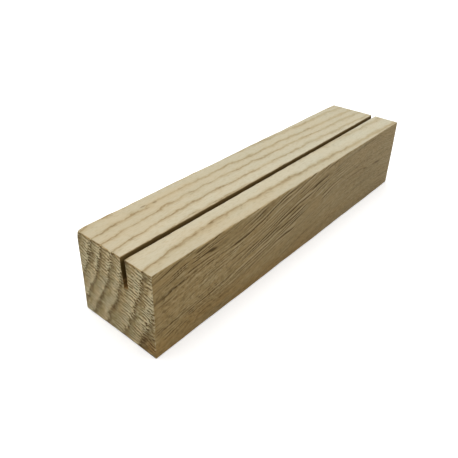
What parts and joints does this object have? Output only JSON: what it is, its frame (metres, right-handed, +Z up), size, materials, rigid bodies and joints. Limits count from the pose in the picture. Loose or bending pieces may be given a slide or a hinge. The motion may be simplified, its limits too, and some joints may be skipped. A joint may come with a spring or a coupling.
{
  "type": "table number holder",
  "caption": "Solid oak block with a leaning slot sawn along its top, which stands a table number card upright on a table.",
  "frame": {"origin": "centre of the underside, on the table", "axes": "+X along the block's length and the slot, -Y towards the long face the card looks over, +Z up"},
  "size_m": [0.15, 0.033, 0.0304],
  "materials": {
    "oak": "pale unfinished oak, planed and lightly sanded, matt, growth rings and rays showing on the ends"
  },
  "bodies": {
    "root": {"holder_block": "oak"}
  },
  "joints": []
}
